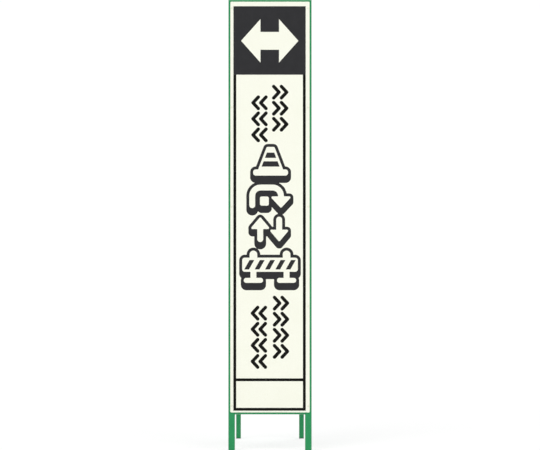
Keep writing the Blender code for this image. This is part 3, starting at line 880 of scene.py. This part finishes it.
@dataclass
class SignFace:
    """The print on the sheeting, and the plate's rivets. Print heights start at the plate's foot."""

    sign: PackedSign
    ink_thickness: float = 0.12 * MM
    ink_gap: float = 0.03 * MM
    print_shift: float = -1.5  # the border isn't quite centred on the plate
    panel_half_width: float = 122.2
    panel_low: float = 1148.1
    panel_high: float = 1381.0
    line_width: float = 9.6
    border_low: float = 8.3
    divider_high: float = 117.8
    arrow_shift: float = -0.9
    arrow_height: float = 1263.3
    arrow_half_length: float = 96.9
    arrow_head_length: float = 65.6
    arrow_head_half: float = 74.0
    arrow_shaft_half: float = 30.3
    symbols: tuple[Pictogram, ...] = (TRAFFIC_CONE, DETOUR_ARROW, TWO_WAY_ARROWS, BARRIER)
    outline_width: float = 10.0
    shadow_drop: float = 15.0
    shadow_steps: int = 10
    chevron_pitch: float = 54.5
    chevron_half_height: float = 19.5
    chevron_depth: float = 18.0
    chevron_width: float = 11.6
    chevron_spacing: float = 26.0

    def build(self) -> None:
        """Prints the panel, the border, the symbols and the chevrons, and sets the rivets."""
        self.print_panel()
        self.print_border()
        outlines = Trace((-112, 400), (112, 930)).outlines(self.symbol_distance)
        self.ink("symbol_print", outlines, PANEL_INK)
        self.print_chevrons()
        self.set_rivets()

    def ink(self, name: str, outlines: Iterable[Sequence[Point]], finish: Finish) -> None:
        """Lays a film of ink on the sheeting, as a closed mesh.

        Args:
            name: the piece's name.
            outlines: its outline and those of its holes, as x across and height up the plate.
            finish: the ink.
        """
        curve = bpy.data.curves.new(name, "CURVE")
        curve.dimensions = "2D"
        curve.fill_mode = "BOTH"
        curve.extrude = self.ink_thickness / 2
        for outline in outlines:
            add_line(curve, [(x * MM, height * MM, 0.0) for x, height in outline], ring=True)
        drawn = linked(name + "_outline", curve)
        mesh = bpy.data.meshes.new_from_object(drawn.evaluated_get(bpy.context.evaluated_depsgraph_get()))
        bpy.data.objects.remove(drawn)
        film = bmesh.new()
        film.from_mesh(mesh)
        bmesh.ops.remove_doubles(film, verts=film.verts, dist=1e-7)
        settle(film, mesh)
        mesh.name = name
        leaning = self.sign.leaning
        front = leaning.box("reflective_sheet")[0].y - self.ink_gap - self.ink_thickness / 2
        face = Matrix.Translation((0, front, leaning.box("sign_plate")[0].z))
        mesh.transform(leaning.matrix @ face @ Matrix.Rotation(math.pi / 2, 4, "X"))
        keep(name, mesh, Slot.CREAM, Body.FRAME, finish)

    def edges(self) -> tuple[float, float]:
        """Returns how far the panel and the border reach to the left and to the right."""
        return self.print_shift - self.panel_half_width, self.print_shift + self.panel_half_width

    def print_panel(self) -> None:
        """Prints the dark panel, with the double-headed arrow left bare."""
        left, right = self.edges()
        tip, neck = self.arrow_half_length, self.arrow_half_length - self.arrow_head_length
        quarter = [(tip, 0.0), (neck, self.arrow_head_half), (neck, self.arrow_shaft_half)]
        upper = quarter + [(-x, y) for x, y in reversed(quarter)]
        arrow = upper + [(x, -y) for x, y in reversed(upper[1:-1])]
        bare = [(self.arrow_shift + x, self.arrow_height + y) for x, y in arrow]
        self.ink("panel_print", [rectangle(left, self.panel_low, right, self.panel_high), bare], PANEL_INK)

    def print_border(self) -> None:
        """Prints the line round the face below the panel, with the divider over the blank box."""
        left, right = self.edges()
        inner_left, inner_right = left + self.line_width, right - self.line_width
        top, low, divider = self.panel_low - 0.05, self.border_low, self.divider_high
        line = [(left, top), (left, low), (right, low), (right, top)]
        line += [(inner_right, top), (inner_right, divider), (inner_left, divider), (inner_left, top)]
        box = rectangle(inner_left, low + self.line_width, inner_right, divider - self.line_width)
        self.ink("border_print", [line, box], LINE_INK)

    def symbol_distance(self, x: Grid, y: Grid) -> Grid:
        """Measures how far places are from the symbols' ink: a thick outline that drops a shadow.

        Args:
            x: the places across.
            y: the places up.

        Returns:
            Each place's distance, negative in the ink.
        """
        bare = np.minimum.reduce([symbol.bare_distance(x, y) for symbol in self.symbols])
        inked = np.minimum.reduce([symbol.inked_distance(x, y) for symbol in self.symbols])
        drops = [self.shadow_drop * i / self.shadow_steps for i in range(self.shadow_steps + 1)]
        outline = np.minimum.reduce([s.bare_distance(x, y + drop) for s in self.symbols for drop in drops])
        return np.maximum(outline - self.outline_width, -np.maximum(bare, -inked))

    def print_chevrons(self) -> None:
        """Prints four columns of double chevrons, which point left on the left and right on the right."""
        columns = ((1, 34.5, 1116.0, 3), (-1, -35.5, 1080.0, 3), (1, 37.0, 400.0, 4), (-1, -37.5, 366.0, 4))
        rise, strokes = self.chevron_half_height, []
        for way, x, top, count in columns:
            for row in range(count):
                middle = top - self.chevron_pitch * (row + 0.5)
                for shift in (-self.chevron_spacing / 2, self.chevron_spacing / 2):
                    tip = x + way * (self.chevron_depth / 2) + shift
                    back = tip - way * self.chevron_depth
                    bent = ((back, middle + rise), (tip, middle), (back, middle - rise))
                    strokes.append(Stroke(bent, self.chevron_width))
        for name, low, high in (("upper", 911, 1121), ("lower", 141, 406)):
            near = [stroke for stroke in strokes if low < stroke.points[1][1] < high]
            outlines = Trace((-75, low), (75, high)).outlines(partial(union, near))
            self.ink(f"{name}_chevron_print", outlines, LINE_INK)

    def set_rivets(self) -> None:
        """Puts a rivet with a hollow head in place of each plain CAD rivet."""
        leaning = self.sign.leaning
        for part in self.sign.frame["record"]["subparts"]:
            if part["material_slot"] != Slot.RIVET.slot:
                continue
            low, high = leaning.box(part["node"])
            name = part["node"] + "_set"
            mesh = turned(name, self.rivet((high.y - low.y) / MM), steps=24)
            centre = Matrix.Translation(((low.x + high.x) / 2, low.y, (low.z + high.z) / 2))
            mesh.transform(leaning.matrix @ centre @ Matrix.Rotation(math.pi / 2, 4, "X"))
            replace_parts(keep(name, mesh, Slot.RIVET, Body.FRAME), part["node"])

    @staticmethod
    def rivet(length: float) -> list[Row]:
        """Shapes a blind rivet: the mandrel's hole with the broken mandrel in it, the head and the set tail.

        Args:
            length: from the top of the head to the end of the tail, in millimetres.

        Returns:
            Its rows, with the top of its head at Z = 0.
        """
        head, shank, bulge, hole = 3.25, 1.6, 2.3, 0.95
        rows = [(hole * 0.7, -0.7), (hole, -0.85), (hole, -0.15), (hole + 0.25, 0.0)]
        rows += [(1.9, -0.1), (2.7, -0.45), (head, -0.9), (head, -1.12), (head - 0.1, -1.2)]
        rows += [(shank, -1.2), (shank, 4.0 - length), (bulge, 3.0 - length), (bulge, 2.0 - length)]
        return rows + [(shank, -length)]


def settle(shape: bmesh.types.BMesh, mesh: bpy.types.Mesh) -> None:
    """Points a closed shape's faces outwards and writes it to a mesh.

    Args:
        shape: the shape, which is freed.
        mesh: the mesh that gets it.
    """
    bmesh.ops.recalc_face_normals(shape, faces=shape.faces)
    shape.to_mesh(mesh)
    shape.free()


def step_angles(steps: int) -> np.ndarray:
    """Returns the angles of a turned piece's points."""
    return np.arange(steps) * 2 * math.pi / steps


def turned(name: str, rows: Sequence[Row], steps: int, bored: bool = False) -> bpy.types.Mesh:
    """Builds a closed piece round Z from rows of points, as a lathe does.

    Args:
        name: the mesh's name.
        rows: each row's radius and height in millimetres, the same all round or one for each step.
        steps: the number of points round the axis.
        bored: joins the last row to the first, which leaves a hole along the axis. Otherwise both are capped.

    Returns:
        The mesh, smooth apart from its sharp edges.
    """
    angles = step_angles(steps)
    shape = bmesh.new()
    rings = []
    for radius, height in rows:
        radii, heights = np.broadcast_to(radius, steps), np.broadcast_to(height, steps)
        places = zip(radii * np.cos(angles), radii * np.sin(angles), heights)
        rings.append([shape.verts.new(np.array(place) * MM) for place in places])
    pairs = list(zip(rings, rings[1:]))
    if bored:
        pairs.append((rings[-1], rings[0]))
    else:
        shape.faces.new(rings[0])
        shape.faces.new(rings[-1])
    for ring, following in pairs:
        for i in range(steps):
            j = (i + 1) % steps
            shape.faces.new((ring[i], ring[j], following[j], following[i]))
    mesh = bpy.data.meshes.new(name)
    settle(shape, mesh)
    mesh.shade_smooth()
    mesh.set_sharp_from_angle(angle=math.radians(32))
    return mesh


def add_line(curve: bpy.types.Curve, places: Sequence[Sequence[float]], ring: bool) -> None:
    """Adds a line of straight runs to a curve.

    Args:
        curve: the curve.
        places: the line's points.
        ring: whether the last point joins the first.
    """
    line = curve.splines.new("POLY")
    line.points.add(len(places) - 1)
    line.points.foreach_set("co", [value for place in places for value in (*place, 1.0)])
    line.use_cyclic_u = ring


def rod(
    name: str, places: Sequence[Vector], radius: float, resolution: int, ring: bool = False
) -> bpy.types.Curve:
    """Makes a curve with a round section and closed ends.

    Args:
        name: the curve's name.
        places: the points of its middle line.
        radius: the section's radius.
        resolution: how finely the section is drawn.
        ring: whether it closes into a ring.

    Returns:
        The curve.
    """
    curve = bpy.data.curves.new(name, "CURVE")
    curve.dimensions = "3D"
    curve.bevel_depth = radius
    curve.bevel_resolution = resolution
    curve.use_fill_caps = True
    add_line(curve, places, ring)
    return curve


@dataclass(frozen=True)
class WeldBead:
    """A fillet weld laid by hand: a row of small overlapping puddles, finished with what it joins."""

    radius: float = 1.5 * MM
    puddle: float = 2.6 * MM
    ripple: float = 0.14
    samples: int = 4
    end_share: float = 0.5  # of the radius, where the bead starts and ends

    def lay(self, name: str, path: Sequence[Sequence[float]], along: Directions, slot: Slot) -> None:
        """Lays a bead along a path.

        Args:
            name: the piece's name.
            path: the corners of the bead's middle line. Where it ends at its start, it closes into a ring.
            along: the directions of the body that it rides with, in which the path is given.
            slot: the slot of its finish.
        """
        corners = [along.place(*corner) for corner in path]
        places: list[Vector] = []
        for first, second in zip(corners, corners[1:]):
            count = max(2, round((second - first).length / (self.puddle / self.samples)))
            places += [first.lerp(second, i / count) for i in range(count)]
        ring = (corners[-1] - corners[0]).length < self.radius
        if not ring:
            places.append(corners[-1])
        curve = rod(name, places, self.radius, 2, ring)
        for i, point in enumerate(curve.splines[0].points):
            from_end = self.samples if ring else min(i, len(places) - 1 - i)
            taper = self.end_share + (1 - self.end_share) * min(1.0, from_end / self.samples)
            point.radius = taper * (1 - self.ripple + self.ripple * abs(math.sin(math.pi * i / self.samples)))
        keep(name, curve, slot, along.body)

    def join(self, bar: str, outline: Sequence[Point], along: Directions) -> None:
        """Welds both ends of a green bar.

        Args:
            bar: the bar's node.
            outline: the weld's (v, u) path round the bar.
            along: the directions of the bar's body.
        """
        low, high = along.box(bar)
        for side, x in zip(SIDES, (low.x, high.x)):
            self.lay(f"weld_{bar}_{side}", [(x, v, u) for v, u in outline], along, Slot.GREEN)


def three_sides(low: Vector, high: Vector, cut: float) -> list[Point]:
    """Returns the outline of a tube's end, without the side that lies against the plate, with cut corners."""
    under = [(low.y + cut, low.z), (high.y - cut, low.z), (high.y, low.z + cut)]
    return under + [(high.y, high.z - cut), (high.y - cut, high.z), (low.y + cut, high.z)]


def all_round(low: Vector, high: Vector, cut: float) -> list[Point]:
    """Returns the whole outline of a tube's end, closed, with cut corners."""
    open_part = three_sides(low, high, cut)
    return open_part + [(low.y, high.z - cut), (low.y, low.z + cut), open_part[0]]


@dataclass
class FrontFrame:
    """The leaning frame's welds: its rails and hinge ears to the uprights, and its mitred top corners."""

    sign: PackedSign
    bead: WeldBead = WeldBead()
    ground_bead: WeldBead = WeldBead(radius=1.0 * MM, ripple=0.08)
    flush: float = 1.1 * MM  # depth of the ground beads' middle line
    corner_cut: float = 1.6 * MM
    rails: tuple[str, ...] = ("upper_rail", "middle_rail", "bottom_rail")

    def build(self) -> None:
        """Lays the frame's welds."""
        for rail in self.rails:
            low, high = self.sign.leaning.box(rail)
            self.bead.join(rail, three_sides(low, high, self.corner_cut), self.sign.leaning)
        self.weld_ears()
        self.weld_mitres()

    def weld_ears(self) -> None:
        """Welds each hinge ear to its upright along its upper and lower edges."""
        leaning = self.sign.leaning
        for side in SIDES:
            low, high = leaning.box(f"hinge_ear_{side}")
            back = leaning.box(f"upright_{side}")[1].y
            for end, u in (("lower", low.z), ("upper", high.z)):
                depths = (low.y + self.corner_cut, back - 2 * self.corner_cut)
                path = [((low.x + high.x) / 2, v, u) for v in depths]
                self.bead.lay(f"weld_ear_{side}_{end}", path, leaning, Slot.GREEN)

    def weld_mitres(self) -> None:
        """Welds the mitres of the top corners all round, ground flush where the plate lies on them."""
        low, high = self.sign.leaning.box("top_rail")
        depth, cut = high.z - low.z, self.corner_cut
        front, back, top = low.y + cut, high.y - cut, depth - self.flush / 2
        ring = [(0.0, front), (0.0, back), (cut, high.y), (depth - cut, high.y), (top, back), (top, front)]
        ring += [(depth - cut, low.y + self.flush), (cut, low.y + self.flush), (0.0, front)]
        for side, inner, way in zip(SIDES, (low.x + depth, high.x - depth), (-1, 1)):
            path = [(inner + way * out, v, low.z + out) for out, v in ring]
            self.ground_bead.lay(f"weld_mitre_{side}", path, self.sign.leaning, Slot.GREEN)


@dataclass
class HingeHardware:
    """The two hinge stacks, in millimetres: a hexagon bolt, washers, a nylon spacer and a lock nut."""

    sign: PackedSign
    bolt_diameter: float = 6.0
    pitch: float = 1.0
    rows_per_pitch: int = 8
    thread_length: float = 8.0
    across_flats: float = 10.0
    head_height: float = 4.0
    collar_height: float = 1.6
    steps: int = 48

    def build(self) -> None:
        """Builds both stacks and turns their hexagons to where a fitter would leave them."""
        for side, turn in zip(SIDES, (17.0, 41.0)):
            self.seat(f"hinge_bolt_{side}", self.bolt, Slot.ZINC, turn, bored=False)
            self.seat(f"bolt_washer_{side}", self.washer, Slot.ZINC)
            self.seat(f"hinge_spacer_{side}", self.spacer, Slot.NYLON)
            self.seat(f"nut_washer_{side}", self.washer, Slot.ZINC)
            self.seat(f"lock_nut_{side}", self.nut, Slot.ZINC, turn + 22)
            self.fit(f"nut_insert_{side}", f"lock_nut_{side}", self.insert, Slot.NYLON)

    def seat(self, node: str, rows: Profile, slot: Slot, turn: float = 0.0, bored: bool = True) -> None:
        """Builds the piece that stands for a CAD node, and hides the node."""
        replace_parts(self.fit(f"{node}_detailed", node, rows, slot, turn, bored), node)

    def fit(
        self, name: str, node: str, rows: Profile, slot: Slot, turn: float = 0.0, bored: bool = True
    ) -> Piece:
        """Turns a piece and fits it on the hinge's line, from a CAD node's inner end outwards.

        Args:
            name: the piece's name.
            node: the node.
            rows: gives the piece's rows from the node's length and diameter, with Z pointing outwards.
            slot: the slot of its finish.
            turn: how far it is turned on the hinge's line, in degrees.
            bored: whether it has a bore.

        Returns:
            The piece.
        """
        low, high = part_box(node)
        mesh = turned(name, rows((high.x - low.x) / MM, (high.z - low.z) / MM), self.steps, bored)
        inner = low.x if low.x > 0 else high.x
        _, y, z = self.sign.standing.matrix.translation
        outwards = Matrix.Rotation(math.copysign(math.pi / 2, inner), 4, "Y")
        turning = Matrix.Rotation(math.radians(turn), 4, "Z")
        mesh.transform(Matrix.Translation((inner, y, z)) @ outwards @ turning)
        return keep(name, mesh, slot, Body.FRAME)

    def hexagon(self) -> tuple[np.ndarray, float, np.ndarray]:
        """Shapes a chamfered hexagon.

        Returns:
            Its radius all round, the radius at which its chamfer ends, and the chamfer's depth all round.
        """
        flats = self.across_flats / 2 / np.cos(np.mod(step_angles(self.steps), math.pi / 3) - math.pi / 6)
        crown = self.across_flats / 2 * 0.95
        return flats, crown, (flats - crown) * math.tan(math.radians(28))

    def bolt(self, length: float, _: float) -> list[Row]:
        """Cuts a hexagon bolt, with a real helix on its end and a chamfered head.

        Args:
            length: from the end of the thread to the top of the head.

        Returns:
            Its rows.
        """
        major, depth = self.bolt_diameter / 2 - 0.04, 0.54 * self.pitch
        turn = step_angles(self.steps) / (2 * math.pi)
        rows: list[Row] = [(1.9, 0.0), (2.3, 0.12)]
        for i in range(1, round(self.thread_length / self.pitch) * self.rows_per_pitch):
            height = 0.12 + i * self.pitch / self.rows_per_pitch
            phase = np.mod(height / self.pitch - turn, 1.0)
            groove = np.clip(1.25 * (1 - np.abs(2 * phase - 1)) - 0.125, 0, 1)
            runout = max(min(1.0, (self.thread_length - height) / self.pitch), 0)
            rows.append((np.minimum(major - depth * groove * runout, 2.3 + height), height))
        low = length - self.head_height
        flats, crown, slope = self.hexagon()
        rows += [(major, self.thread_length + 0.3), (major, low), (4.4, low), (4.6, low + 0.2)]
        rows += [(flats - 0.05, low + 0.2), (flats, low + 0.3), (flats, length - slope), (crown, length)]
        return rows + [(3.2, length), (3.0, length - 0.25)]

    def nut(self, length: float, _: float) -> list[Row]:
        """Cuts a lock nut: a hexagon chamfered at both ends, with a round collar on its inner end.

        Args:
            length: from the collar's end to the outer face.

        Returns:
            Its rows.
        """
        bore, collar = self.bolt_diameter / 2 + 0.05, self.collar_height
        flats, crown, slope = self.hexagon()
        rows: list[Row] = [(bore, collar + 0.3), (3.75, collar + 0.3), (3.75, 0.45), (3.5, 0.2), (3.6, 0.02)]
        rows += [(4.0, 0.0), (4.35, 0.35), (4.45, collar - 0.1), (crown, collar), (flats, collar + slope)]
        return rows + [(flats, length - slope), (crown, length), (bore + 0.5, length), (bore, length - 0.5)]

    def insert(self, *_: float) -> list[Row]:
        """Returns the rows of the nylon ring that grips the thread in a lock nut's collar."""
        bore, outer, high = self.bolt_diameter / 2 + 0.02, 3.7, self.collar_height + 0.25
        return [(bore + 0.25, 0.5), (bore, 0.7), (bore, high), (outer, high), (outer, 0.5)]

    def washer(self, length: float, diameter: float) -> list[Row]:
        """Stamps a washer, whose outer face has a rolled edge and whose inner face has a sharp one.

        Args:
            length: its thickness.
            diameter: its outer diameter.

        Returns:
            Its rows.
        """
        bore, outer = self.bolt_diameter / 2 + 0.2, diameter / 2
        rows = [(bore, 0.0), (outer, 0.0), (outer, length - 0.35), (outer - 0.1, length - 0.1)]
        return rows + [(outer - 0.35, length), (bore + 0.1, length), (bore, length - 0.1)]

    def spacer(self, length: float, diameter: float) -> list[Row]:
        """Moulds a flat nylon spacer with softly rounded edges.

        Args:
            length: its thickness.
            diameter: its outer diameter.

        Returns:
            Its rows.
        """
        bore, outer = self.bolt_diameter / 2 + 0.2, diameter / 2
        rows = [(bore, 0.0), (outer - 0.25, 0.0), (outer, 0.25)]
        return rows + [(outer, length - 0.25), (outer - 0.25, length), (bore, length)]


@dataclass
class RearStand:
    """The rear stand's welds: its crossbars and its round rung to the legs."""

    sign: PackedSign
    bead: WeldBead = WeldBead(radius=1.3 * MM)
    corner_cut: float = 1.6 * MM

    def build(self) -> None:
        """Lays the stand's welds."""
        standing = self.sign.standing
        for bar in ("rear_upper_crossbar", "rear_lower_crossbar"):
            self.bead.join(bar, all_round(*standing.box(bar), self.corner_cut), standing)
        low, high = standing.box("stay_rung")
        centre = ((low.y + high.y) / 2, (low.z + high.z) / 2)
        self.bead.join("stay_rung", arc(centre, (high.y - low.y) / 2, 0, 360, 20), standing)


@dataclass
class WireStay:
    """The bent wire in its smooth round form, tacked to the stop bar."""

    sign: PackedSign
    arm_x: float = 88.0 * MM
    bend: float = 9.0 * MM
    bend_steps: int = 10
    tack: WeldBead = WeldBead(radius=1.2 * MM)
    tack_length: float = 22.0 * MM
    tack_places: tuple[float, ...] = (-0.062, 0.0, 0.062)

    def build(self) -> None:
        """Bends the wire, and tacks the stop bar under it at its middle and near its ends."""
        staying = self.sign.staying
        low, high = staying.box("stay_bail")
        radius = (high.z - low.z) / 2
        reach, arm = high.y - radius, self.arm_x
        corners = ((high.x, 0), (arm, 0), (arm, reach), (-arm, reach), (-arm, 0), (low.x, 0))
        path = [staying.matrix @ place for place in self.bent([Vector((x, v, 0)) for x, v in corners])]
        wire = keep("bent_wire", rod("bent_wire", path, radius, 6), Slot.ZINC, Body.STAY)
        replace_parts(wire, "stay_bail")
        low, high = staying.box("stay_stop_bar")
        for i, middle in enumerate(self.tack_places, 1):
            ends = (middle - self.tack_length / 2, middle + self.tack_length / 2)
            tacked = [(x, reach + (high.y - low.y) / 2, high.z) for x in ends]
            self.tack.lay(f"weld_stop_bar_{i}", tacked, staying, Slot.ZINC)

    def bent(self, corners: Sequence[Vector]) -> list[Vector]:
        """Rounds the corners of the wire's path.

        Args:
            corners: the path's ends and the corners between them, each a right angle.

        Returns:
            The path, with an arc at each corner.
        """
        path = [corners[0]]
        for before, corner, after in zip(corners, corners[1:], corners[2:]):
            back, ahead = (before - corner).normalized(), (after - corner).normalized()
            centre = corner + (back + ahead) * self.bend
            for i in range(self.bend_steps + 1):
                turn = math.pi / 2 * i / self.bend_steps
                path.append(centre - ahead * self.bend * math.cos(turn) - back * self.bend * math.sin(turn))
        return path + [corners[-1]]


@dataclass
class Studio:
    """A white floor, soft even light, and a far camera that sees the sign almost without perspective."""

    sign: PackedSign
    distance: float = 60.0
    pitch: float = math.radians(4.64)
    picture_height: float = 1.5243
    headroom: float = 0.6 * MM
    sky_strength: float = 0.498
    reflected_sky: float = 0.8
    lamp_width: float = math.radians(35)
    floor_half: float = 70.0

    def build(self) -> None:
        """Sets the floor, the sky, the lamps and the camera."""
        self.lay_floor()
        self.light_sky()
        self.hang_lamps()
        self.place_camera()
        bpy.context.scene.view_settings.view_transform = "Standard"

    def lay_floor(self) -> None:
        """Lays the floor under the whole view."""
        mesh = bpy.data.meshes.new("paper_floor")
        shape = bmesh.new()
        bmesh.ops.create_grid(shape, x_segments=1, y_segments=1, size=self.floor_half)
        shape.to_mesh(mesh)
        shape.free()
        mesh.materials.append(PAPER.material())
        linked("paper_floor", mesh)

    def light_sky(self) -> None:
        """Lights the object from all round, behind a background that the camera sees as white."""
        world = bpy.data.worlds.new("soft_white_tent")
        world.use_nodes = True
        tree = world.node_tree
        tree.nodes.clear()
        rays = add(tree, "LightPath").outputs
        levels = {"To Min": self.sky_strength, "To Max": self.reflected_sky}
        cast = add(tree, "MapRange", {"Value": seen_directly(tree, rays), **levels})
        strength = add(tree, "Math", {0: cast, 1: rays["Is Camera Ray"]}, operation="MAXIMUM")
        sky = add(tree, "Background", {"Color": (1.0, 1.0, 1.0, 1.0), "Strength": strength})
        add(tree, "OutputWorld", {"Surface": sky})
        bpy.context.scene.world = world

    def hang_lamps(self) -> None:
        """Hangs three broad soft lamps, each given by where it shines from and how strongly."""
        lamps = (
            ("key_lamp", 40.0, -35.0, 0.30),
            ("fill_lamp", 30.0, 40.0, 0.20),
            ("back_lamp", 45.0, 160.0, 0.30),
        )
        for name, elevation, azimuth, level in lamps:
            lamp = bpy.data.lights.new(name, "SUN")
            lamp.energy = level * math.pi
            lamp.angle = self.lamp_width
            rise, turn = math.radians(elevation), math.radians(azimuth)
            flat = math.cos(rise)
            towards = Vector((math.sin(turn) * flat, -math.cos(turn) * flat, math.sin(rise)))
            linked(name, lamp).rotation_euler = towards.to_track_quat("Z", "Y").to_euler()

    def place_camera(self) -> None:
        """Frames the sign from the top of its frame, which is at the picture's edge, to its front feet."""
        up = Vector((0, math.sin(self.pitch), math.cos(self.pitch)))
        back = Vector((0, -math.cos(self.pitch), math.sin(self.pitch)))
        top = max(vertex.co.dot(up) for vertex in self.sign.frame["nodes"]["top_rail"].data.vertices)
        centre = up * (top + self.headroom - self.picture_height / 2)
        lens = bpy.data.cameras.new("long_lens")
        lens.sensor_width = SENSOR_WIDTH_MM
        picture_width = self.picture_height * PICTURE_WIDTH_PX / PICTURE_HEIGHT_PX
        lens.lens = SENSOR_WIDTH_MM * self.distance / picture_width
        lens.clip_end = 4 * self.distance
        camera = linked("long_lens", lens)
        camera.location = centre + back * self.distance
        camera.rotation_euler = back.to_track_quat("Z", "Y").to_euler()
        bpy.context.scene.camera = camera


def main() -> None:
    """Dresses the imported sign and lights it."""
    logging.basicConfig(level=logging.INFO, format="%(name)s: %(message)s")
    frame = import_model()
    sign = PackedSign(frame)
    sign.dress_nodes()
    for assembly in (SignFace(sign), FrontFrame(sign), HingeHardware(sign), RearStand(sign), WireStay(sign)):
        assembly.build()
        log.info("%s is built", type(assembly).__name__)
    Studio(sign).build()


if __name__ == "__main__":
    main()
